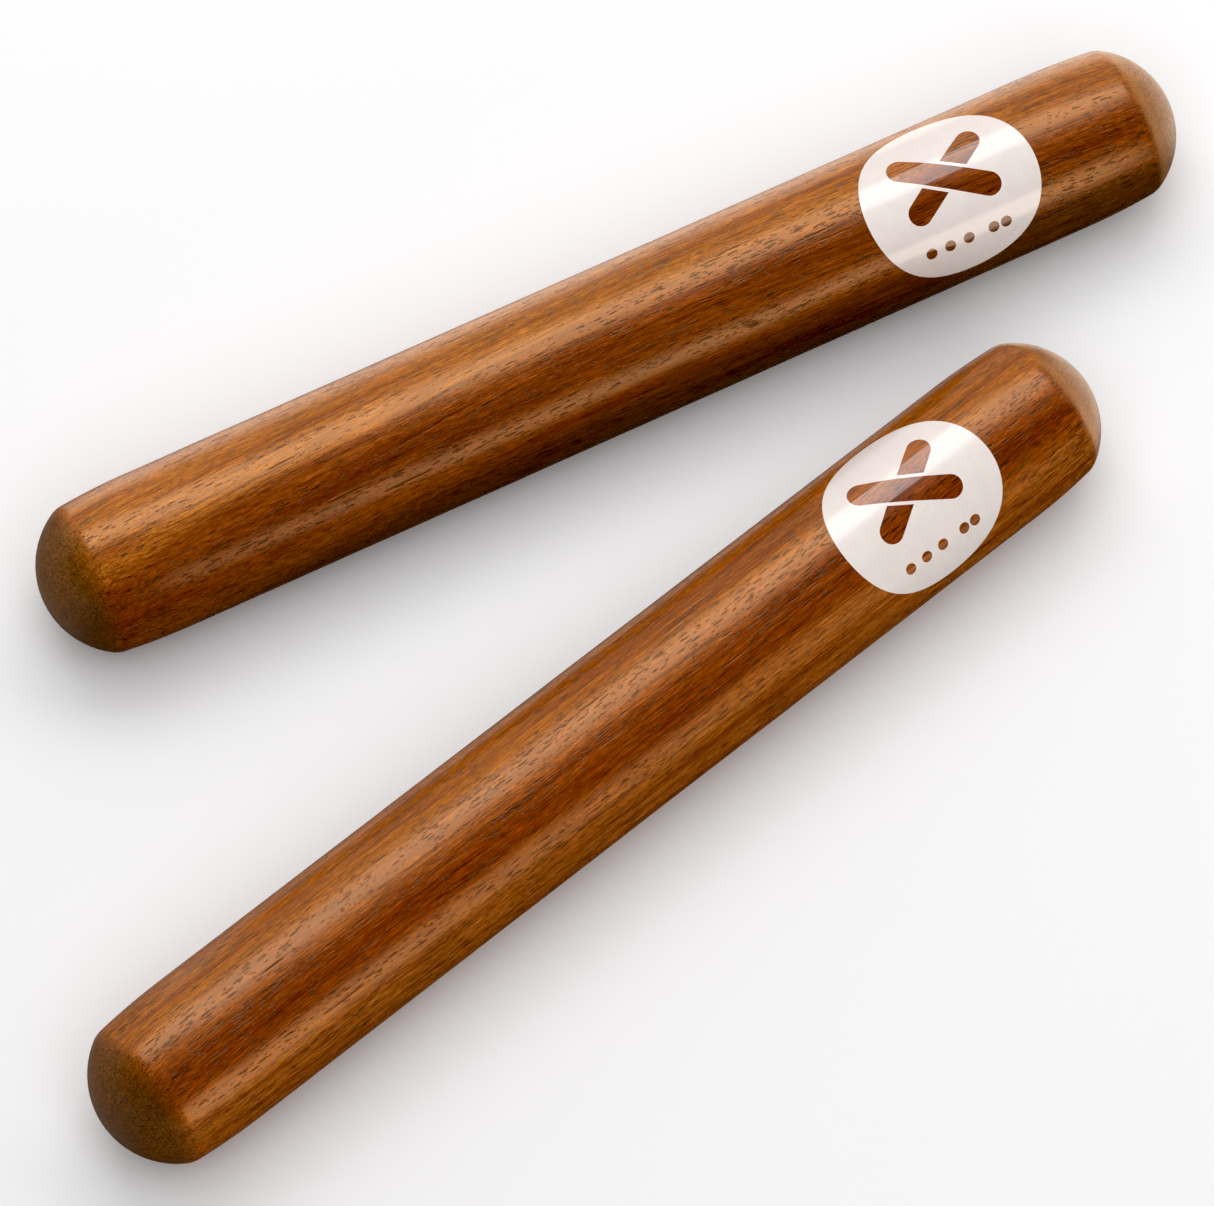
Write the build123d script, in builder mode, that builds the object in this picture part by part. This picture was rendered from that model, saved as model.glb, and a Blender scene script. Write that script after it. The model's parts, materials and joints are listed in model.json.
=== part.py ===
from build123d import *

import os
from math import cos, pi, radians, sin

# A pair of claves: two solid hardwood sticks that are struck together, lying side by side.
#
# Both sticks are turned to one shape: a cylindrical barrel that eases in slightly towards its
# ends, and a domed cap of end grain on each end. A round label is wrapped round each barrel.
#
# Frame: millimetres, +Z up. The pair lies on the plane z = 0, with the middle of its bounding
# box over the origin. +X runs along the resting clave, towards its label.

# The stick
stick_length = 198.0
stick_diameter = 26.0
barrel_length = 158.0  # the true cylinder, between the two eased stretches
arris_diameter = 24.66  # where the eased barrel meets the domed end
dome_depth = 7.66  # from that arris to the end of the stick
arris_softening = 1.0  # the radius that sanding leaves on the arris

# How the pair lies: the striking clave's middle, seen from the resting clave's, and its heading
striking_shift_x = -32.4
striking_shift_y = -61.6
striking_heading = 13.9
outline_turn = -93.2  # each outline hangs below its axis, so that the seam is off the resting line

# The labels: discs of thin film wrapped round the barrels
label_diameter = 29.5
label_thickness = 0.1
film_margin = 1.0  # spare film beyond the outline, before the label is cut out
resting_label_along = 57.8  # from the middle of the stick to the middle of its label
striking_label_along = 61.0
resting_label_turn = 20.0  # from the top of the stick, round towards -Y
striking_label_turn = 17.8
outline_points = 32  # points that the curve round a label passes through

# Worked out from the dimensions above
stick_radius = stick_diameter / 2
half_length = stick_length / 2
half_barrel = barrel_length / 2
arris_radius = arris_diameter / 2
arris_along = half_length - dome_depth
dome_radius = (arris_radius**2 + dome_depth**2) / (2 * dome_depth)
label_radius = label_diameter / 2

# The pair reaches from the striking clave's plain end to the resting clave's labelled end in X,
# and from the striking clave's lower arris to the resting clave's far side in Y.
striking_turn = radians(striking_heading)
striking_reach_x = (half_length - dome_radius) * cos(striking_turn) + dome_radius
striking_reach_y = arris_along * sin(striking_turn) + arris_radius * cos(striking_turn)
resting_x = (striking_reach_x - striking_shift_x - half_length) / 2
resting_y = (striking_reach_y - striking_shift_y - stick_radius) / 2
striking_x = resting_x + striking_shift_x
striking_y = resting_y + striking_shift_y


def stick_plane(x, y, heading, turn):
    """The plane through a stick's axis, centred on the stick, with its x along the stick. With a
    turn of 0 it faces straight up, and a positive turn rolls its face towards -Y."""
    level = Plane(origin=(x, y, stick_radius))
    return level.rotated((turn, 0, heading), ordering=Extrinsic.XYZ)


def make_stick(plane):
    """One turned stick: half of its outline, mirrored end for end and revolved about its axis."""
    with BuildPart() as stick:
        with BuildSketch(plane):
            with BuildLine():
                barrel = Line((0, stick_radius), (half_barrel, stick_radius))
                ease = TangentArc(barrel @ 1, (arris_along, arris_radius), tangent=barrel % 1)
                dome = RadiusArc(ease @ 1, (half_length, 0), dome_radius)
                Line(dome @ 1, (0, 0))
                Line((0, 0), barrel @ 0)
            make_face()
            mirror(about=Plane.YZ)
        revolve(axis=Axis(plane.origin, plane.x_dir))
        circles = stick.edges().filter_by(GeomType.CIRCLE)
        arrises = circles.filter_by(lambda circle: abs(circle.radius - arris_radius) < 0.01)
        fillet(arrises, arris_softening)
    return stick


def label_outline(along):
    """The points of a label's rim, as seen from straight above it, for a round label that is
    wrapped: a length round the barrel is seen foreshortened, and a length along it is not."""
    points = []
    for step in range(outline_points):
        angle = 2 * pi * step / outline_points
        length_along = label_radius * cos(angle)
        length_round = label_radius * sin(angle)
        points.append((along + length_along, stick_radius * sin(length_round / stick_radius)))
    return points


def make_label(plane, along):
    """One label: a ring of film round the barrel, cut to the label's outline from above it."""
    with BuildPart() as label:
        with BuildSketch(plane):
            with Locations((along, stick_radius + label_thickness / 2)):
                Rectangle(label_diameter + 2 * film_margin, label_thickness)
        revolve(axis=Axis(plane.origin, plane.x_dir))
        with BuildSketch(plane):
            with BuildLine():
                Spline(*label_outline(along), periodic=True)
            make_face()
        extrude(amount=stick_diameter, mode=Mode.INTERSECT)
    return label


resting_outline = stick_plane(resting_x, resting_y, 0, outline_turn)
resting_top = stick_plane(resting_x, resting_y, 0, resting_label_turn)
striking_outline = stick_plane(striking_x, striking_y, striking_heading, outline_turn)
striking_top = stick_plane(striking_x, striking_y, striking_heading, striking_label_turn)

pieces = {
    "resting_clave": make_stick(resting_outline),
    "resting_label": make_label(resting_top, resting_label_along),
    "striking_clave": make_stick(striking_outline),
    "striking_label": make_label(striking_top, striking_label_along),
}
os.makedirs("parts", exist_ok=True)
for name, piece in pieces.items():
    piece.part.label = name
    export_step(piece.part, f"parts/{name}.step")
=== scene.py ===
import json
from math import atan2, cos, hypot, pi, radians, sin, sqrt, tau
from random import Random

import bpy
import numpy as np
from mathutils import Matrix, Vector
from mathutils.geometry import delaunay_2d_cdt


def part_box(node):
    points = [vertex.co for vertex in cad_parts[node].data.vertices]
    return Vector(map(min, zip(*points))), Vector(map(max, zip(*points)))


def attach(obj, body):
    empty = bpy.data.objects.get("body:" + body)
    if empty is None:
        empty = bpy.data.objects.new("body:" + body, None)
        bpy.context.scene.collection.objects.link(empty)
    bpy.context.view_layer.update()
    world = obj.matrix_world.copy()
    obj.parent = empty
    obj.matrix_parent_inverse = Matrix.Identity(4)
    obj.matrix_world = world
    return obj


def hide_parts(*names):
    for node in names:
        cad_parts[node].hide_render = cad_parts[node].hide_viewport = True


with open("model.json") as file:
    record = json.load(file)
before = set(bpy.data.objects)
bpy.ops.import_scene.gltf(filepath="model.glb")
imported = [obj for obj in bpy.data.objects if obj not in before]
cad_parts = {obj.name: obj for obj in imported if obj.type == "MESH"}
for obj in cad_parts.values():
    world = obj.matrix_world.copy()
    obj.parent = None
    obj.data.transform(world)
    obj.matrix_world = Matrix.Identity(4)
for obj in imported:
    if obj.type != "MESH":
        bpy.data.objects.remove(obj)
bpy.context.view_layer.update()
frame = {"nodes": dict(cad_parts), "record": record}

# A pair of claves lying on a pale floor. The CAD model gives their places and sizes. Each stick is
# made again here as a fine lathe mesh with open pores cut into it, and each label as a printed film.

record = frame["record"]
mounts = {mount["name"]: mount for mount in record["mounts"]}

MM = 0.001
UP = Vector((0, 0, 1))


class Stick:
    """Where one stick lies, and the change from its own coordinates to the row's. In its own
    coordinates a point is so far along the axis, towards the label, so far from the axis, and
    turned so far from the top towards the side that faces -Y. Lengths are in millimetres."""

    def __init__(self, name, seed):
        mount = mounts[name + "_barrel"]
        low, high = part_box("resting_clave")  # this one lies along X, and both have one shape
        self.name = name
        self.seed = seed
        self.centre = Vector(mount["pos_m"])
        self.along = -Vector(mount["axis"]).normalized()
        self.across = UP.cross(self.along)
        self.radius = mount["dims"]["r_mm"]
        self.half_barrel = mount["dims"]["length_mm"] / 2
        self.half_length = (high[0] - low[0]) / 2 / MM

    def grain(self, along, turn, radius):
        """Points in the stick's own straight axes, in millimetres: along, across and up."""
        along, turn, radius = np.broadcast_arrays(along, turn, radius)
        return np.stack([along, -radius * np.sin(turn), radius * np.cos(turn)], axis=-1)

    def place(self, points):
        """Points in the stick's own axes, moved to the row's frame, in metres."""
        axes = np.array([self.along, self.across, UP])
        return np.array(self.centre) + MM * points @ axes

    def label_place(self):
        """The middle of the CAD label: so far along the stick, and turned so far from the top."""
        mesh = frame["nodes"][self.name + "_label"].data
        points = [vertex.co - self.centre for vertex in mesh.vertices]
        alongs = [point.dot(self.along) / MM for point in points]
        turns = [atan2(-point.dot(self.across), point.dot(UP)) for point in points]
        return (min(alongs) + max(alongs)) / 2, (min(turns) + max(turns)) / 2


def new_object(name, points, faces, smooth=True):
    mesh = bpy.data.meshes.new(name)
    mesh.from_pydata(points.tolist(), [], faces)
    mesh.validate()
    for polygon in mesh.polygons:
        polygon.use_smooth = smooth
    piece = bpy.data.objects.new(name, mesh)
    bpy.context.scene.collection.objects.link(piece)
    return piece


def add_attribute(piece, name, kind, values):
    attribute = piece.data.attributes.new(name, kind, "POINT")
    field = "vector" if kind == "FLOAT_VECTOR" else "value"
    attribute.data.foreach_set(field, np.asarray(values, dtype=np.float32).ravel())


# ---------------------------------------------------------------- the sticks

# The turned end of a stick, in millimetres
ARRIS_RADIUS = 12.33
DOME_DEPTH = 7.66
ARRIS_SOFTENING = 1.6  # length of the curve that rounds the arris

# The lathe mesh
SEGMENTS = 600
BARREL_STEP = 1.6  # mm between rings along the barrel
ARRIS_SHARES = (0.0, 0.25, 0.5, 0.75, 1.0)  # places of the rings on the rounded arris
DOME_RINGS = 16
END_BLEND_RINGS = 3  # rings of the dome over which its end grain comes to full strength

# How the sanded surface wanders from round
TURNING_WAVE = 0.010  # mm
WAVE_COUNT = 14
WAVES_ALONG = (0.05, 0.45)  # radians per mm
WAVES_AROUND = (0, 1, 2, 3, 4, 5, 7)

# The open pores cut into the mesh, in millimetres
SCATTERED_PORES = 46
PORE_DEPTH = 0.06
PORE_MARGIN = 3  # between the middle of a pore and the arris
PORE_HALF_LENGTHS = (1.8, 3.4)
PORE_HALF_WIDTHS = (0.10, 0.15)
LONG_PORE_HALF_WIDTH = 0.15


def end_outline(stick):
    """One end of the stick's outline, from the end of the barrel to near the pole, as rows of
    (along, radius, share of end grain)."""
    arris_along = stick.half_length - DOME_DEPTH
    ease_length = arris_along - stick.half_barrel
    ease_drop = stick.radius - ARRIS_RADIUS
    ease_radius = (ease_length**2 + ease_drop**2) / (2 * ease_drop)
    dome_radius = (ARRIS_RADIUS**2 + DOME_DEPTH**2) / (2 * DOME_DEPTH)
    dome_centre = stick.half_length - dome_radius
    rows = []
    soft = ARRIS_SOFTENING / 2
    for step in range(1, int(ease_length - soft) + 1):
        drop = ease_radius - sqrt(ease_radius**2 - step**2)
        rows.append((stick.half_barrel + step, stick.radius - drop, 0.0))
    # The arris is rounded by a short curve between a point on each side of it, and the end grain
    # begins on it.
    before = np.array([arris_along - soft, ARRIS_RADIUS + soft * ease_length / ease_radius])
    corner = np.array([arris_along, ARRIS_RADIUS])
    dome_turn = atan2(ARRIS_RADIUS, arris_along - dome_centre)
    after_turn = dome_turn - soft / dome_radius
    after = np.array([dome_centre + dome_radius * cos(after_turn), dome_radius * sin(after_turn)])
    for share in ARRIS_SHARES:
        point = (1 - share) ** 2 * before + 2 * share * (1 - share) * corner + share**2 * after
        rows.append((point[0], point[1], 0.5 * share))
    for step in range(1, DOME_RINGS):
        turn = after_turn * (1 - step / DOME_RINGS)
        end = min(1.0, 0.5 + 0.5 * step / END_BLEND_RINGS)
        rows.append((dome_centre + dome_radius * cos(turn), dome_radius * sin(turn), end))
    return rows


def stick_outline(stick):
    """The whole outline, from the plain end to the labelled end."""
    labelled = end_outline(stick)
    plain = [(-along, radius, end) for along, radius, end in reversed(labelled)]
    count = int(2 * stick.half_barrel / BARREL_STEP) + 1
    alongs = np.linspace(-stick.half_barrel, stick.half_barrel, count)
    barrel = [(along, stick.radius, 0.0) for along in alongs]
    return np.array(plain + barrel + labelled)


def waves(along, turn, draw):
    """A smooth wandering of the surface, as a sum of a few long waves."""
    total = np.zeros(np.broadcast(along, turn).shape)
    for _ in range(WAVE_COUNT):
        lengthwise = draw.uniform(*WAVES_ALONG)
        around = draw.choice(WAVES_AROUND)
        phase = draw.uniform(0, tau)
        total += np.cos(along * lengthwise + turn * around + phase) / sqrt(WAVE_COUNT)
    return total


def pore_places(stick, look, draw):
    """The largest open pores: where each lies, along and round, and half its length and width.
    The look names the few that stand out, and the rest are scattered."""
    places = [
        (middle, radians(where), half_long, LONG_PORE_HALF_WIDTH)
        for middle, where, half_long in look["long_pores"]
    ]
    reach = stick.half_length - DOME_DEPTH - PORE_MARGIN
    for _ in range(SCATTERED_PORES):
        place = draw.uniform(-reach, reach), draw.uniform(-pi, pi)
        places.append((*place, draw.uniform(*PORE_HALF_LENGTHS), draw.uniform(*PORE_HALF_WIDTHS)))
    return places


def open_pores(stick, look, along, turn, draw):
    """How deep each point lies in one of the open pores, which run along the grain."""
    depth = np.zeros(np.broadcast(along, turn).shape)
    for middle, where, half_long, half_wide in pore_places(stick, look, draw):
        slope = 2 * look["bend"] * (middle - look["level_at"]) * cos(where)
        rows = np.nonzero(np.abs(along[:, 0] - middle) < half_long)[0]
        part = slice(rows[0], rows[-1] + 1)
        offset = along[part] - middle
        aside = (turn - where + pi) % tau - pi
        aside = np.abs(aside * stick.radius - slope * offset) / half_wide
        lengthwise = 1 - (offset / half_long) ** 2
        groove = np.clip(1 - aside, 0, 1) * np.clip(lengthwise, 0, 1) ** 0.5
        depth[part] = np.maximum(depth[part], groove)
    return depth


def lathe_faces(rings):
    """The faces between the rings, and the fans that close the ends at two poles, which are the
    last two points."""
    faces = []
    last = (rings - 1) * SEGMENTS
    for start in range(0, last, SEGMENTS):
        for segment in range(SEGMENTS):
            after = (segment + 1) % SEGMENTS
            near = (start + segment, start + after)
            far = (start + SEGMENTS + after, start + SEGMENTS + segment)
            faces.append(near + far)
    pole = rings * SEGMENTS
    for segment in range(SEGMENTS):
        after = (segment + 1) % SEGMENTS
        faces.append((pole, after, segment))
        faces.append((pole + 1, last + segment, last + after))
    return faces


def make_stick(stick, look):
    """One stick: rings of points along its outline, with a pole at each end."""
    outline = stick_outline(stick)
    draw = Random(stick.seed)
    along = outline[:, 0:1]
    radius = outline[:, 1:2]
    turn = np.linspace(0, tau, SEGMENTS, endpoint=False)[None, :]
    pores = open_pores(stick, look, along, turn, draw)
    wave = waves(along, turn, draw)
    relief = TURNING_WAVE * wave * radius / stick.radius - PORE_DEPTH * pores
    surface = stick.grain(along, turn, radius + relief)
    smooth = stick.grain(along, turn, radius)
    poles = stick.grain(np.array([-stick.half_length, stick.half_length]), 0.0, 0.0)
    points = np.concatenate([surface.reshape(-1, 3), poles])
    grain = np.concatenate([smooth.reshape(-1, 3), poles])
    piece = new_object(stick.name + "_turned_stick", stick.place(points), lathe_faces(len(outline)))
    end = np.concatenate([np.repeat(outline[:, 2], SEGMENTS), [1, 1]])
    add_attribute(piece, "grain", "FLOAT_VECTOR", grain)
    add_attribute(piece, "pore", "FLOAT", np.append(pores.ravel(), [0, 0]))
    add_attribute(piece, "end", "FLOAT", end * np.sign(points[:, 0]))
    return piece


# ---------------------------------------------------------------- the labels

# The film, in millimetres
FILM_THICKNESS = 0.1
EDGE_THINNING = 0.4  # share of the thickness that is left at the cut edge
RIM_WIDTH = 0.22
RIM_POINTS = 160
LABEL_CELL = 0.55  # between the points that carry the film round the barrel
ROW_SPACING = 0.87  # between rows of those points, as a share of a cell
RIM_CLEARANCE = 0.3  # between those points and the rim, as a share of a cell
MERGE_DISTANCE = 1e-5

# The emblem, in millimetres and degrees
BAR_LENGTH = 18.5
BAR_WIDTH = 3.9
BAR_ANGLE = 33.0
BARS_UP = 2.6
BAR_GAP = 0.55
DOT_RADIUS = 0.95
DOTS_DOWN = 8.2
RHYTHM = (0, 3, 6, 10, 12)  # the pulses of a bar of sixteen on which the 3-2 clave is struck
PULSE_STEP = 1.1
CURVE_STEPS = 24


def circle(middle, radius, steps):
    turns = [tau * step / steps for step in range(steps)]
    return [(middle[0] + radius * cos(turn), middle[1] + radius * sin(turn)) for turn in turns]


def bar(middle, length, width, angle):
    """The outline of a bar with round ends."""
    half = (length - width) / 2
    points = []
    for side in (1, -1):
        for step in range(CURVE_STEPS + 1):
            turn = -pi / 2 + pi * step / CURVE_STEPS
            along = side * (half + width / 2 * cos(turn))
            aside = side * (width / 2 * sin(turn))
            points.append((along, aside))
    cosine, sine = cos(radians(angle)), sin(radians(angle))
    return [
        (middle[0] + x * cosine - y * sine, middle[1] + x * sine + y * cosine) for x, y in points
    ]


def emblem():
    """The outlines in the print: a stick in front and the gap round it, the stick that crosses
    behind, and a row of dots for the five strokes of the clave rhythm."""
    middle = (0, BARS_UP)
    front = bar(middle, BAR_LENGTH, BAR_WIDTH, -BAR_ANGLE)
    gap = bar(middle, BAR_LENGTH + 2 * BAR_GAP, BAR_WIDTH + 2 * BAR_GAP, -BAR_ANGLE)
    behind = bar(middle, BAR_LENGTH, BAR_WIDTH, BAR_ANGLE)
    places = [(pulse - RHYTHM[-1] / 2) * PULSE_STEP for pulse in RHYTHM]
    dots = [circle((place, -DOTS_DOWN), DOT_RADIUS, CURVE_STEPS) for place in places]
    return front, gap, behind, dots


def inside(point, outline):
    """Whether a point lies inside a closed outline, by counting crossings."""
    x, y = point
    result = False
    previous = outline[-1]
    for current in outline:
        if (current[1] > y) != (previous[1] > y):
            share = (y - current[1]) / (previous[1] - current[1])
            if x < current[0] + share * (previous[0] - current[0]):
                result = not result
        previous = current
    return result


def is_open(point, front, gap, behind, dots):
    """Whether the print leaves this point clear."""
    if inside(point, front) or any(inside(point, dot) for dot in dots):
        return True
    return inside(point, behind) and not inside(point, gap)


def label_points(size, drawing):
    """The points of the flat label and the edges that its faces have to keep: its rim, the
    emblem's outlines, and a field of points between them."""
    front, gap, behind, dots = drawing
    rim = circle((0, 0), size, RIM_POINTS)
    inner = circle((0, 0), size - RIM_WIDTH, RIM_POINTS)
    points = []
    edges = []
    for outline in [rim, inner, front, gap, behind] + dots:
        first = len(points)
        count = len(outline)
        points += outline
        edges += [(first + step, first + (step + 1) % count) for step in range(count)]
    cells = int(size / LABEL_CELL)
    for row in range(-cells, cells + 1):
        for column in range(-cells, cells + 1):
            x = (column + 0.5 * (row % 2)) * LABEL_CELL
            y = row * LABEL_CELL * ROW_SPACING
            if hypot(x, y) < size - RIM_WIDTH - RIM_CLEARANCE * LABEL_CELL:
                points.append((x, y))
    return points, edges


def flat_label(size):
    """The flat label: its points, its triangles, and which of them the print leaves clear."""
    drawing = emblem()
    points, edges = label_points(size, drawing)
    points = [Vector(point) for point in points]
    flat, _, triangles, _, _, _ = delaunay_2d_cdt(points, edges, [], 0, MERGE_DISTANCE)
    kept = []
    clear = []
    for triangle in triangles:
        middle = sum((flat[corner] for corner in triangle), Vector((0, 0))) / 3
        if middle.length < size:
            kept.append(list(triangle))
            clear.append(is_open(middle, *drawing))
    return np.array([tuple(point) for point in flat]), kept, clear


def film_faces(triangles, count):
    """The faces of a closed film: the triangles, the same ones on its underside, whose points
    come so many later, and a wall along each edge that only one triangle has."""
    pairs = {}
    for triangle in triangles:
        for step in range(3):
            pair = (triangle[step], triangle[(step + 1) % 3])
            pairs.setdefault(tuple(sorted(pair)), []).append(pair)
    faces = list(triangles)
    faces += [[count + corner for corner in reversed(triangle)] for triangle in triangles]
    for uses in pairs.values():
        if len(uses) == 1:
            a, b = uses[0]
            faces.append([b, a, count + a, count + b])
    return faces


def make_label(stick, print_material, window_material):
    """One label: a thin closed film, wrapped round the barrel. Its face is printed white except
    in the emblem's openings, where the wood shows through the clear film."""
    along, turn = stick.label_place()
    low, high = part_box("resting_label")
    size = (high[0] - low[0]) / MM / 2
    flat, triangles, clear = flat_label(size)
    inwards = size - np.sqrt((flat**2).sum(axis=1))
    lift = FILM_THICKNESS * np.clip(inwards / (0.5 * RIM_WIDTH), EDGE_THINNING, 1.0)
    turns = turn - flat[:, 1] / stick.radius
    top = stick.grain(along + flat[:, 0], turns, stick.radius + lift)
    under = stick.grain(along + flat[:, 0], turns, stick.radius)
    points = stick.place(np.concatenate([top, under]))
    piece = new_object(stick.name + "_printed_label", points, film_faces(triangles, len(flat)))
    # The rim mask, along which a painted glint is laid on the print.
    rim = np.clip(1 - inwards / (2 * RIM_WIDTH), 0, 1)
    add_attribute(piece, "grain", "FLOAT_VECTOR", np.concatenate([under, under]))
    add_attribute(piece, "rim", "FLOAT", np.concatenate([rim, rim]))
    outward = stick.grain(0.0, turns, 1.0) @ np.array([stick.along, stick.across, UP])
    normals = np.concatenate([outward, -outward])
    piece.data.normals_split_custom_set_from_vertices(normals.tolist())
    piece.data.materials.append(print_material)
    piece.data.materials.append(window_material)
    for polygon, is_clear in zip(piece.data.polygons, clear):
        polygon.material_index = int(is_clear)
    return piece


# ---------------------------------------------------------------- materials


def colour(red, green, blue):
    """A colour given in sRGB from 0 to 255, as the linear one that a shader takes."""
    parts = []
    for part in (red, green, blue):
        share = part / 255
        parts.append(share / 12.92 if share <= 0.04045 else ((share + 0.055) / 1.055) ** 2.4)
    return (*parts, 1.0)


class Shader:
    """Builds the nodes of a material or a world. What is joined to an input is an output, a
    number or a colour."""

    def __init__(self, holder):
        self.holder = holder
        self.holder.use_nodes = True
        self.tree = self.holder.node_tree
        self.tree.nodes.clear()

    def join(self, socket, value):
        if isinstance(value, bpy.types.NodeSocket):
            self.tree.links.new(value, socket)
        else:
            socket.default_value = value

    def node(self, kind, *values, **settings):
        node = self.tree.nodes.new("ShaderNode" + kind)
        for name, value in settings.items():
            setattr(node, name, value)
        for socket, value in zip(node.inputs, values):
            if value is not None:
                self.join(socket, value)
        return node

    def math(self, operation, *values):
        return self.node("Math", *values, operation=operation).outputs[0]

    def shift(self, place, offset):
        return self.node("VectorMath", place, offset, operation="ADD").outputs[0]

    def stretch(self, place, scale):
        return self.node("VectorMath", place, scale, operation="MULTIPLY").outputs[0]

    def facing(self, place, direction):
        """How far a direction faces another, from -1 to 1."""
        node = self.node("VectorMath", place, direction, operation="DOT_PRODUCT")
        return node.outputs["Value"]

    def attribute(self, name, output):
        return self.node("Attribute", attribute_name=name).outputs[output]

    def noise(self, place, scale, detail=2.0, roughness=0.5):
        """Noise from 0 to 1, around a half, with its own scale along, across and up."""
        node = self.node("TexNoise")
        self.join(node.inputs["Vector"], self.stretch(place, scale))
        self.join(node.inputs["Scale"], 1.0)
        self.join(node.inputs["Detail"], detail)
        self.join(node.inputs["Roughness"], roughness)
        return node.outputs["Fac"]

    def cells(self, place, scale):
        """The distance to the nearest of a set of scattered points."""
        node = self.node("TexVoronoi")
        self.join(node.inputs["Vector"], self.stretch(place, scale))
        self.join(node.inputs["Scale"], 1.0)
        return node.outputs["Distance"]

    def ease(self, value, start, end, low=0.0, high=1.0):
        """A smooth change from low, where the value is start, to high, where it is end."""
        node = self.node("MapRange", value, start, end, low, high, interpolation_type="SMOOTHSTEP")
        return node.outputs[0]

    def mix(self, share, first, second):
        return self.node("MixRGB", share, first, second).outputs[0]

    def tint(self, share, shade, by):
        """A colour multiplied by another, as far as the share says."""
        return self.node("MixRGB", share, shade, by, blend_type="MULTIPLY").outputs[0]

    def ramp(self, value, stops):
        """A colour ramp. Each stop is a place from 0 to 1 and a colour."""
        node = self.node("ValToRGB", value)
        node.color_ramp.interpolation = "EASE"
        elements = node.color_ramp.elements
        while len(elements) > 1:
            elements.remove(elements[-1])
        elements[0].position, elements[0].color = stops[0]
        for place, shade in stops[1:]:
            elements.new(place).color = shade
        return node.outputs[0]

    def height(self, *parts):
        """The sum of some heights in millimetres, each a pattern and how high it stands."""
        total = 0.0
        for pattern, high in parts:
            total = self.math("ADD", total, self.math("MULTIPLY", pattern, high))
        return total

    def bump(self, height):
        """The normal of a surface with a height given in millimetres."""
        node = self.node("Bump", 1.0, MM)
        self.join(node.inputs["Height"], height)
        return node.outputs[0]

    def finish(self, normal=None, **sockets):
        """The surface shader. What it is given is joined to the sockets of those names."""
        shader = self.node("BsdfPrincipled")
        for name, value in sockets.items():
            self.join(shader.inputs[name.replace("_", " ")], value)
        if normal is not None:
            self.join(shader.inputs["Normal"], normal)
        output = self.node("OutputMaterial")
        self.tree.links.new(shader.outputs[0], output.inputs["Surface"])
        return self.holder


# The wood's patterns, in cycles per millimetre along, across and up
WANDER_SCALE = (0.018, 0.11, 0.11)
BROAD_SCALE = (0.014, 0.55, 0.55)
MIDDLING_SCALE = (0.09, 2.3, 2.3)
FINE_SCALE = (0.42, 6.5, 6.5)
THREAD_SCALE = (0.040, 3.4, 3.4)
CROWD_SCALE = (0.02, 0.35, 0.35)
LARGE_PORE_SCALE = (0.24, 2.0, 2.0)
SMALL_PORE_SCALE = (0.55, 3.5, 3.5)
END_SPECKLE_SCALE = (1.5, 1.5, 1.5)
END_PORE_SCALE = (2.4, 2.4, 2.4)
SANDING_SCALE = (4.6, 0.6, 0.6)

# The layers of colour stand edge on to the camera, so they run along each stick as seen from it, and
# they hold painted light and shade as well as the wood's own colour. A layer's place is in
# millimetres.
LAYER_ACROSS = -0.9176
LAYER_UP = -0.3976
LAYER_REACH = 13.0

# The wood's colours. A tint multiplies what is under it.
GOLDEN_TINT = (1.12, 1.22, 1.1, 1)
GOLDEN_SHARE = 0.5
THREAD_TINT = (0.60, 0.52, 0.45, 1)
PORE_TINT = (98, 66, 46)
PORE_DARKNESS = 0.95
END_PORE_TINT = (150, 136, 120)
# A painted highlight: a pale band along the labelled end's arris, the edge that faces the light.
PAINTED_ARRIS_HIGHLIGHT = (196, 138, 74)
ARRIS_HIGHLIGHT_SHARE = 0.4
SIDE_GRAIN_IN_END = 0.3  # share of the side's colour that is left on a dome

# The values of a pattern or an attribute where it starts to show and where it is at full strength
NOISE_SPAN = (0.3, 0.7)
VEIN_SPAN = (0.48, 0.70)
GOLDEN_SPAN = (0.48, 0.30)
THREAD_SPAN = (0.57, 0.68)
CUT_PORE_SPAN = (0.05, 0.6)
END_PORE_SPAN = (0.42, 0.18)
ARRIS_HIGHLIGHT_SPAN = (0.15, 0.45)  # from the barrel, up the labelled end
ARRIS_HIGHLIGHT_END_SPAN = (0.95, 0.55)  # from the dome, down it
# Where the plain end's painted shade gives way to the labelled end's painted light
SHADED_TO_LIT_END_SPAN = (-0.1, 0.1)
MOTTLE_SPAN = (0.35, 0.65)
SPECK_SPAN = (0.70, 0.80)

# The tints of the fibres and of the end grain's speckle, by the value of their noise
MIDDLING_FIBRE = [
    (0.30, (0.44, 0.38, 0.34, 1)),
    (0.50, (1.0, 0.99, 0.98, 1)),
    (0.70, (1.45, 1.52, 1.6, 1)),
]
FINE_FIBRE = [
    (0.30, (0.40, 0.35, 0.30, 1)),
    (0.50, (1.0, 1.0, 1.0, 1)),
    (0.70, (1.6, 1.7, 1.8, 1)),
]
END_SPECKLE = [
    (0.38, (0.56, 0.54, 0.5, 1)),
    (0.50, (1.0, 1.0, 1.0, 1)),
    (0.62, (1.6, 1.6, 1.6, 1)),
]

# The size of a pore, in cells, where pores are few and where they crowd
LARGE_PORE_SIZES = (0.12, 0.32)
SMALL_PORE_SIZES = (0.14, 0.31)

# The values of the crowding noise at those two sizes
LARGE_PORE_CROWDING = (0.25, 0.60)
SMALL_PORE_CROWDING = (0.30, 0.60)

# Where a pore begins and where it is full, as a share of its size
LARGE_PORE_EDGE = (1.0, 0.55)
SMALL_PORE_EDGE = (1.0, 0.50)
SMALL_PORE_STRENGTH = 0.9

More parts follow.
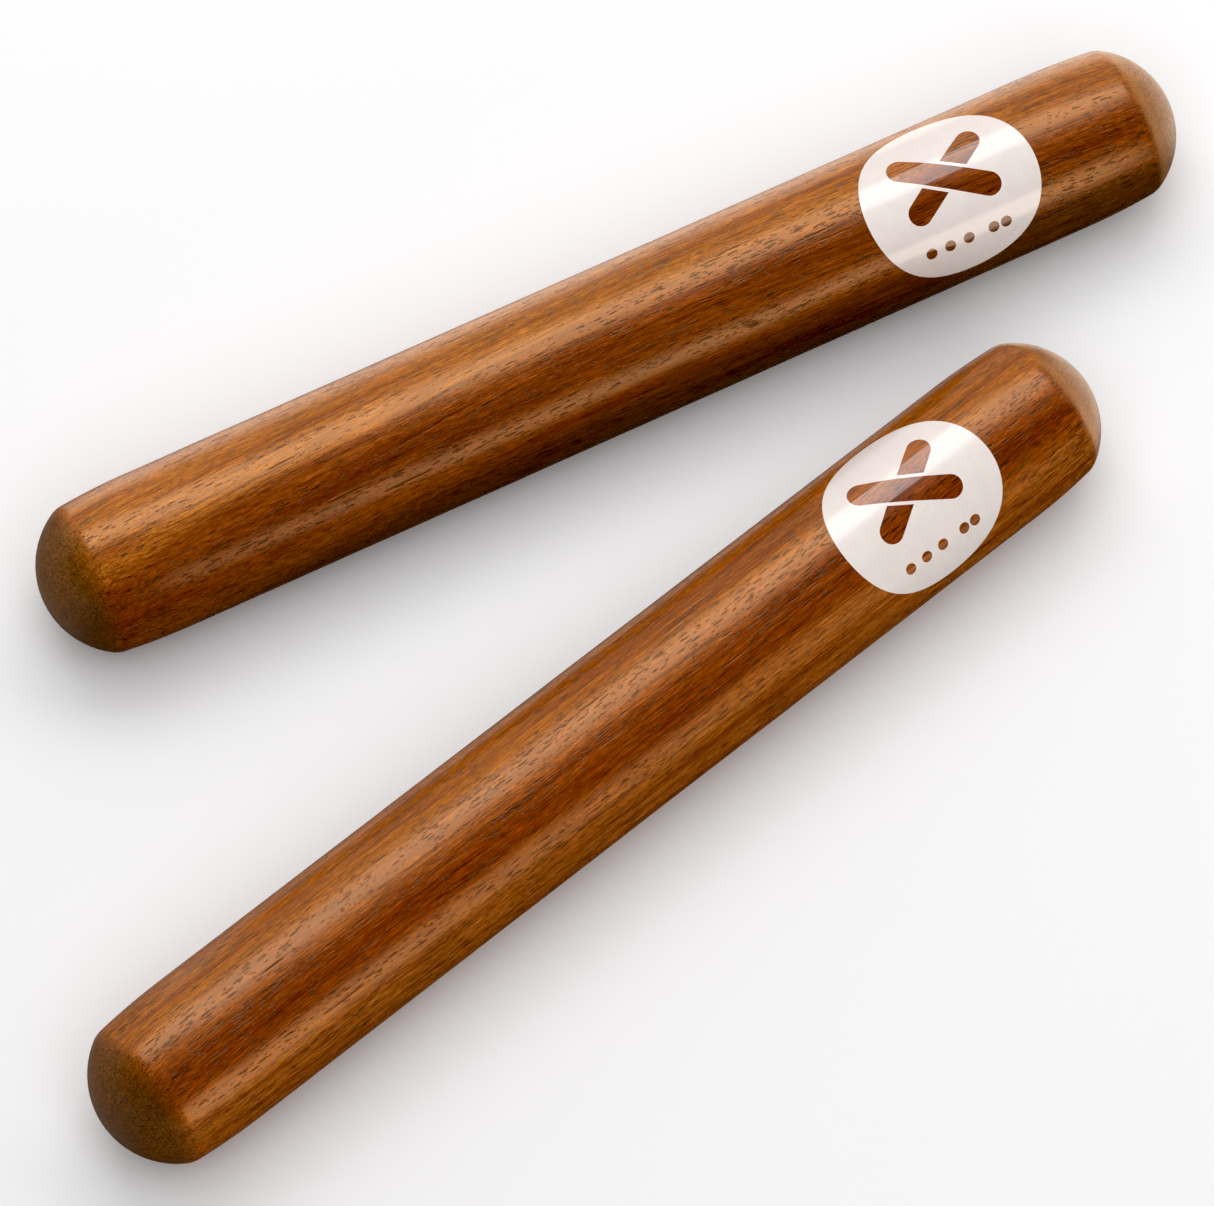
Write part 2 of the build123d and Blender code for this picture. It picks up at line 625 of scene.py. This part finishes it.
# The wood's relief, in millimetres, and its gloss
FIBRE_HEIGHT = 0.011
RIPPLE_HEIGHT = 0.015
SANDING_HEIGHT = 0.0015
PORE_HEIGHT = 0.025
WOOD_ROUGHNESS = (0.18, 0.30)
SANDING_ROUGHNESS = (-0.02, 0.03)
PORE_ROUGHNESS = 0.1
END_ROUGHNESS = 0.12
WOOD_GLEAM = (1.0, 0.65, 0.37, 1.0)
WOOD_IOR = 1.6
WOOD_SPECULAR = 1.0

# The labels' film and print
FILM_COAT = 0.8
FILM_IOR = 1.9
CLEAR_FILM_ROUGHNESS = 0.07
PRINTED_FILM_ROUGHNESS = 0.17
COVERED_WOOD_ROUGHNESS = (0.42, 0.50)
COVERED_WOOD_SPECULAR = 0.2
PRINT_ROUGHNESS = (0.30, 0.38)
PRINT_SPECULAR = 0.1
PRINT_WHITE = (238, 230, 228)
PRINT_SHADE = (234, 226, 224)
PRINT_SPECK = (205, 196, 190)
# A painted glint: the print is painted evenly paler along its cut edge.
PRINT_RIM_GLINT = (236, 230, 228)
PRINT_RIM_GLINT_SHARE = 0.7
MOTTLE_SCALE = (0.5, 0.5, 0.5)
SPECK_SCALE = (5.0, 5.0, 5.0)
FILM_RIPPLE_SCALE = (0.16, 0.16, 0.16)
FILM_RIPPLE_HEIGHT = 0.05
PEEL_SCALE = (1.3, 1.3, 1.3)
PEEL_HEIGHT = 0.0012

FLOOR_LIGHT = (246, 248, 252)
FLOOR_SHADE = (243, 245, 249)
FLOOR_CLOUD_SCALE = (3.0, 3.0, 3.0)
FLOOR_ROUGHNESS = 0.9
FLOOR_SPECULAR = 0.1

RESTING_LOOK = {
    "bend": 0.00042,  # of the grain: mm sideways per mm squared along
    "level_at": 40.0,  # mm along the stick, where the grain is level
    # Each long pore: mm along, degrees round from the top, and half its length in mm
    "long_pores": [(-50.6, 42.0, 4.2), (-40.3, 52.0, 4.8), (-58.0, 4.0, 3.4), (9.0, 31.0, 3.6)],
    "shift": (13.0, 4.0, 9.0),  # where in the wood's patterns the stick is cut, in mm
    "wander": 2.4,  # mm from the one side of the fibres' wandering to the other
    # Each layer's place in mm, from -13 on the camera's far side to 13 on its near side, and colour.
    # The colours are partly the wood's own and partly painted light and shade: lighter on the far
    # top side, where the sheen from behind falls, and darker on the near side, where the striking
    # stick shades this one.
    "layers_and_painted_shade": [
        (-13, (168, 94, 22)),
        (-8, (162, 90, 20)),
        (-3, (132, 61, 8)),
        (0, (114, 50, 6)),
        (3, (124, 58, 8)),
        (6, (132, 67, 12)),
        (9, (94, 48, 5)),
        (13, (88, 49, 7)),
    ],
    "vein": (222, 200, 176),
    # The ends' colours hold painted light and shade: the labelled end is painted lighter, as if lit
    # from its side, and the plain end darker, as if in shade.
    "plain_end_in_painted_shade": (80, 54, 18),
    "labelled_end_in_painted_light": (134, 84, 34),
}
STRIKING_LOOK = {
    "bend": -0.00004,
    "level_at": 0.0,
    "long_pores": [(-66.0, 1.0, 2.2), (-30.0, 36.0, 3.0), (22.0, 27.0, 3.4), (-52.0, 30.0, 2.6)],
    "shift": (71.0, 31.0, 17.0),
    "wander": 2.2,
    # The colours are partly the wood's own and partly painted light: lighter on the far top side and
    # on the near lower side, where the light falls.
    "layers_and_painted_shade": [
        (-13, (160, 86, 10)),
        (-9, (158, 84, 10)),
        (-4, (145, 70, 9)),
        (-1, (126, 55, 6)),
        (3, (122, 52, 6)),
        (5, (144, 71, 11)),
        (8, (156, 84, 17)),
        (13, (150, 81, 16)),
    ],
    "vein": (216, 188, 164),
    # The ends' colours hold painted light and shade: the labelled end is painted lighter, as if lit
    # from its side, and the plain end darker, as if in shade.
    "plain_end_in_painted_shade": (80, 54, 18),
    "labelled_end_in_painted_light": (134, 84, 34),
}


def grain_places(s, look, grain):
    """Where a point lies in the wood: its layer of growth, which also sets the painted light and
    shade across the stick, and its place among the fibres. The grain bends across the stick along
    its length, and wanders a little."""
    along, across, up = s.node("SeparateXYZ", grain).outputs
    from_level = s.math("SUBTRACT", along, look["level_at"])
    bend = s.math("MULTIPLY", s.math("MULTIPLY", from_level, from_level), look["bend"])
    across = s.math("ADD", across, bend)
    shifted = s.shift(s.node("CombineXYZ", along, across, up).outputs[0], look["shift"])
    wander = s.math("SUBTRACT", s.noise(shifted, WANDER_SCALE), 0.5)
    wander = s.math("MULTIPLY", wander, look["wander"])
    fibre_place = s.shift(shifted, s.node("CombineXYZ", 0.0, wander, wander).outputs[0])
    across = s.math("MULTIPLY", across, LAYER_ACROSS)
    up = s.math("MULTIPLY", up, LAYER_UP)
    layer = s.math("ADD", s.math("ADD", across, up), wander)
    return layer, fibre_place


def layer_and_painted_shade(s, look, layer):
    """The layers of colour lie across the stick, as the growth of the tree laid them down. They also
    hold painted light and shade, so the colour changes from the stick's far side to its near side as
    the light on it does.
    """
    width = 2 * LAYER_REACH
    stops = [((place + LAYER_REACH) / width, colour(*shade)) for place, shade in look["layers_and_painted_shade"]]
    return s.ramp(s.math("ADD", s.math("DIVIDE", layer, width), 0.5), stops)


def fibre_shade(s, look, place, shade, middling, fine):
    """Broad, middling and fine fibres, and dark threads."""
    broad = s.noise(place, BROAD_SCALE)
    shade = s.tint(s.ease(broad, *VEIN_SPAN), shade, colour(*look["vein"]))
    shade = s.tint(s.ease(broad, *GOLDEN_SPAN, 0.0, GOLDEN_SHARE), shade, GOLDEN_TINT)
    shade = s.tint(1.0, shade, s.ramp(middling, MIDDLING_FIBRE))
    shade = s.tint(1.0, shade, s.ramp(fine, FINE_FIBRE))
    thread = s.ease(s.noise(place, THREAD_SCALE, 2, 0.6), *THREAD_SPAN)
    return s.tint(thread, shade, THREAD_TINT)


def pore_share(s, place):
    """How far a point lies in a pore: a long narrow hollow, in bands, or one cut in the mesh."""
    crowd = s.noise(place, CROWD_SCALE)
    large_size = s.ease(crowd, *LARGE_PORE_CROWDING, *LARGE_PORE_SIZES)
    small_size = s.ease(crowd, *SMALL_PORE_CROWDING, *SMALL_PORE_SIZES)
    large = s.math("DIVIDE", s.cells(place, LARGE_PORE_SCALE), large_size)
    small = s.math("DIVIDE", s.cells(place, SMALL_PORE_SCALE), small_size)
    large = s.ease(large, *LARGE_PORE_EDGE)
    small = s.ease(small, *SMALL_PORE_EDGE, 0.0, SMALL_PORE_STRENGTH)
    cut = s.ease(s.attribute("pore", "Fac"), *CUT_PORE_SPAN)
    return s.math("MAXIMUM", s.math("MAXIMUM", large, small), cut)


def end_grain_shade(s, look, grain, end, side_shade):
    """End grain on the domes: duller and finely speckled, painted lighter on the labelled end as if
    lit and darker on the plain end as if in shade, with a painted highlight along the labelled end's
    arris.
    """
    # The labelled end takes a lighter copy of the end grain's colour, a painted light, and the plain
    # end a darker copy, a painted shade.
    plain, labelled = colour(*look["plain_end_in_painted_shade"]), colour(*look["labelled_end_in_painted_light"])
    shade = s.mix(s.ease(end, *SHADED_TO_LIT_END_SPAN), plain, labelled)
    speckle = s.noise(grain, END_SPECKLE_SCALE, 5, 0.8)
    shade = s.tint(1.0, shade, s.ramp(speckle, END_SPECKLE))
    shade = s.mix(SIDE_GRAIN_IN_END, shade, side_shade)
    pore = s.ease(s.cells(grain, END_PORE_SCALE), *END_PORE_SPAN)
    shade = s.tint(pore, shade, colour(*END_PORE_TINT))
    # A painted highlight along the labelled end's arris, where that edge catches the light.
    arris_highlight_dome = s.ease(end, *ARRIS_HIGHLIGHT_END_SPAN, 0.0, ARRIS_HIGHLIGHT_SHARE)
    arris_highlight = s.math("MULTIPLY", s.ease(end, *ARRIS_HIGHLIGHT_SPAN), arris_highlight_dome)
    return s.mix(arris_highlight, shade, colour(*PAINTED_ARRIS_HIGHLIGHT))


def wood_material(name, look, under_film=False):
    """Lacquered hardwood, as if cut from a solid block. Its end attribute runs from 0 on the
    barrel to 1 on the labelled end's dome and to -1 on the plain one's."""
    s = Shader(bpy.data.materials.new(name))
    grain = s.attribute("grain", "Vector")
    end = s.attribute("end", "Fac")
    end_share = s.ease(s.math("ABSOLUTE", end), 0.0, 1.0)
    layer, place = grain_places(s, look, grain)
    middling = s.noise(place, MIDDLING_SCALE, 4, 0.65)
    fine = s.noise(place, FINE_SCALE, 3, 0.65)
    sanding = s.noise(grain, SANDING_SCALE, 3)
    pore = pore_share(s, place)
    shade = fibre_shade(s, look, place, layer_and_painted_shade(s, look, layer), middling, fine)
    shade = s.tint(s.math("MULTIPLY", pore, PORE_DARKNESS), shade, colour(*PORE_TINT))
    shade = s.mix(end_share, shade, end_grain_shade(s, look, grain, end, shade))
    if under_film:
        return s.finish(
            Base_Color=shade,
            Roughness=s.ease(fine, *NOISE_SPAN, *COVERED_WOOD_ROUGHNESS),
            Specular_Tint=WOOD_GLEAM,
            Specular_IOR_Level=COVERED_WOOD_SPECULAR,
            Coat_Weight=FILM_COAT,
            Coat_Roughness=CLEAR_FILM_ROUGHNESS,
            Coat_IOR=FILM_IOR,
        )
    height = s.height(
        (fine, FIBRE_HEIGHT),
        (sanding, SANDING_HEIGHT),
        (middling, RIPPLE_HEIGHT),
        (pore, -PORE_HEIGHT),
    )
    roughness = s.ease(fine, *NOISE_SPAN, *WOOD_ROUGHNESS)
    sanded = s.ease(sanding, *NOISE_SPAN, *SANDING_ROUGHNESS)
    roughness = s.math("ADD", roughness, sanded)
    roughness = s.math("ADD", roughness, s.math("MULTIPLY", pore, PORE_ROUGHNESS))
    roughness = s.math("ADD", roughness, s.math("MULTIPLY", end_share, END_ROUGHNESS))
    return s.finish(
        s.bump(height),
        Base_Color=shade,
        Roughness=roughness,
        Specular_Tint=WOOD_GLEAM,
        Specular_IOR_Level=WOOD_SPECULAR,
        IOR=WOOD_IOR,
    )


def print_material():
    """White ink under a glossy film, with a faint mottle, and a painted glint along its cut edge,
    where the print is painted evenly paler.
    """
    s = Shader(bpy.data.materials.new("white_print"))
    place = s.attribute("grain", "Vector")
    mottle = s.noise(place, MOTTLE_SCALE, 4, 0.6)
    specks = s.noise(place, SPECK_SCALE)
    shade = s.mix(s.ease(mottle, *MOTTLE_SPAN), colour(*PRINT_WHITE), colour(*PRINT_SHADE))
    shade = s.mix(s.ease(specks, *SPECK_SPAN), shade, colour(*PRINT_SPECK))
    # A painted glint along the cut edge.
    rim = s.math("MULTIPLY", s.attribute("rim", "Fac"), PRINT_RIM_GLINT_SHARE)
    shade = s.mix(rim, shade, colour(*PRINT_RIM_GLINT))
    ripple = s.noise(place, FILM_RIPPLE_SCALE)
    peel = s.noise(place, PEEL_SCALE)
    return s.finish(
        s.bump(s.height((ripple, FILM_RIPPLE_HEIGHT), (peel, PEEL_HEIGHT))),
        Base_Color=shade,
        Roughness=s.ease(mottle, *NOISE_SPAN, *PRINT_ROUGHNESS),
        Specular_IOR_Level=PRINT_SPECULAR,
        Coat_Weight=FILM_COAT,
        Coat_Roughness=PRINTED_FILM_ROUGHNESS,
        Coat_IOR=FILM_IOR,
    )


def floor_material():
    """Pale painted board."""
    s = Shader(bpy.data.materials.new("pale_floor"))
    cloud = s.noise(s.node("TexCoord").outputs["Object"], FLOOR_CLOUD_SCALE, 3)
    shade = s.mix(cloud, colour(*FLOOR_LIGHT), colour(*FLOOR_SHADE))
    return s.finish(
        Base_Color=shade,
        Roughness=FLOOR_ROUGHNESS,
        Specular_IOR_Level=FLOOR_SPECULAR,
    )


# ---------------------------------------------------------------- the studio

# The camera, in metres, degrees and millimetres of lens
AZIMUTH = -26.457
ELEVATION = 64.18
DISTANCE = 1.828
TARGET = Vector((-0.00266, 0.00726, 0))
LENS = 344.2
SENSOR_WIDTH = 36
FARTHEST_SEEN = 1000

# The broad light from above
OVERHEAD_FROM = (180, 68)  # azimuth and elevation
OVERHEAD_SPREAD = radians(68)
OVERHEAD_STRENGTH = 1.6

# The room, as brightness by direction. An edge is where the brightness starts to change and where
# the change is complete: how far a direction faces an azimuth, or how high it points.
ROOM_TINT = (1.0, 0.91, 0.80, 1)
ROOM_AZIMUTH = 0
ROOM_EDGE = (-0.1, 0.5)
ROOM_FRONT = 0.03
ROOM_BEHIND = 0.65
HORIZON = 0.78
HORIZON_EDGE = (0.06, 0.025)
GROUND_EDGE = (-0.05, -0.01)
GLOW_AZIMUTH = 30
GLOW_EDGE = (0.45, 0.65)
GLOW = 1.8
LEFT_GLOW_AZIMUTH = -70
LEFT_GLOW_EDGE = (0.1, 0.5)
LEFT_GLOW = 0.25

NEAR_TINT = (1.0, 0.84, 0.66)
FLOOR_HALF_SIZE = 200.0
BLACK_LEVEL = 0.008


def towards(azimuth, elevation):
    """A direction. Azimuth 0 is straight away from the camera, and 90 is to its right."""
    away = Vector((-sin(radians(AZIMUTH)), cos(radians(AZIMUTH)), 0))
    right = Vector((cos(radians(AZIMUTH)), sin(radians(AZIMUTH)), 0))
    flat = away * cos(radians(azimuth)) + right * sin(radians(azimuth))
    return flat * cos(radians(elevation)) + UP * sin(radians(elevation))


def new_light(name, kind):
    data = bpy.data.lights.new(name, kind)
    light = bpy.data.objects.new(name, data)
    bpy.context.scene.collection.objects.link(light)
    return light, data


def aim(thing, place, target):
    thing.location = place
    thing.rotation_euler = (target - place).to_track_quat("-Z", "Y").to_euler()


def add_camera():
    data = bpy.data.cameras.new("camera")
    data.lens = LENS
    data.sensor_width = SENSOR_WIDTH
    data.sensor_fit = "HORIZONTAL"
    data.clip_end = FARTHEST_SEEN
    camera = bpy.data.objects.new("camera", data)
    bpy.context.scene.collection.objects.link(camera)
    aim(camera, TARGET + towards(180, ELEVATION) * DISTANCE, TARGET)
    bpy.context.scene.camera = camera


def add_softbox(name, azimuth, elevation, distance, width, height, radiance, tint=(1, 1, 1)):
    """A rectangular light that faces the sticks. Its radiance is what a mirror would show."""
    light, data = new_light(name, "AREA")
    data.shape = "RECTANGLE"
    data.size = width
    data.size_y = height
    data.energy = radiance * width * height * pi
    data.color = tint
    aim(light, TARGET + towards(azimuth, elevation) * distance, TARGET)
    light.visible_camera = False
    return light


def add_side_fill():
    """Soft light from the right that makes no highlight of its own."""
    light = add_softbox("side_fill", 75, 35, distance=1.2, width=1.0, height=1.0, radiance=0.5)
    light.visible_glossy = False


def add_overhead_fill():
    """Broad light from above, even over the whole floor, that makes no highlight of its own."""
    light, data = new_light("overhead_fill", "SUN")
    data.energy = OVERHEAD_STRENGTH
    data.angle = OVERHEAD_SPREAD
    aim(light, towards(*OVERHEAD_FROM), Vector((0, 0, 0)))
    light.visible_glossy = False


def add_world():
    """A room that is pale behind the sticks and all along its horizon, and dark elsewhere. Under
    the horizon it glows, brightly behind the sticks and faintly to their left."""
    world = bpy.data.worlds.new("room")
    bpy.context.scene.world = world
    s = Shader(world)
    place = s.node("TexCoord").outputs["Generated"]
    height = s.node("SeparateXYZ", place).outputs[2]
    behind = s.facing(place, towards(ROOM_AZIMUTH, 0))
    above = s.ease(behind, *ROOM_EDGE, ROOM_FRONT, ROOM_BEHIND)
    above = s.math("MAXIMUM", above, s.ease(height, *HORIZON_EDGE, 0.0, HORIZON))
    behind = s.facing(place, towards(GLOW_AZIMUTH, 0))
    below = s.ease(behind, *GLOW_EDGE, ROOM_FRONT, GLOW)
    left = s.facing(place, towards(LEFT_GLOW_AZIMUTH, 0))
    below = s.math("MAXIMUM", below, s.ease(left, *LEFT_GLOW_EDGE, 0.0, LEFT_GLOW))
    share = s.ease(height, *GROUND_EDGE)
    strength = s.node("Mix", share, None, below, above, data_type="FLOAT").outputs[0]
    background = s.node("Background", ROOM_TINT, strength)
    output = s.node("OutputWorld")
    s.tree.links.new(background.outputs[0], output.inputs["Surface"])


def add_floor():
    size = FLOOR_HALF_SIZE
    corners = np.array([(-size, -size, 0), (size, -size, 0), (size, size, 0), (-size, size, 0)])
    floor = new_object("floor", corners, [(0, 1, 2, 3)], smooth=False)
    floor.data.materials.append(floor_material())
    floor.visible_glossy = False


def set_tone():
    tone = bpy.context.scene.view_settings
    tone.view_transform = "Standard"
    tone.use_curve_mapping = True
    tone.curve_mapping.black_level = (BLACK_LEVEL, BLACK_LEVEL, BLACK_LEVEL)


add_camera()
add_floor()
add_world()
add_softbox("softbox_above", -5, 61.5, distance=0.80, width=0.75, height=0.37, radiance=2.5)
add_overhead_fill()
add_side_fill()
add_softbox("softbox_near", 136, 14.5, 1.20, width=0.40, height=0.52, radiance=2.5, tint=NEAR_TINT)
set_tone()

resting = Stick("resting", seed=31)
striking = Stick("striking", seed=58)
white = print_material()
for stick, look in ((resting, RESTING_LOOK), (striking, STRIKING_LOOK)):
    body = stick.name + "_stick"
    turned = make_stick(stick, look)
    turned.data.materials.append(wood_material(stick.name + "_hardwood", look))
    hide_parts(stick.name + "_clave")
    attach(turned, body)
    label = make_label(stick, white, wood_material(stick.name + "_wood_under_film", look, True))
    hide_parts(stick.name + "_label")
    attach(label, body)
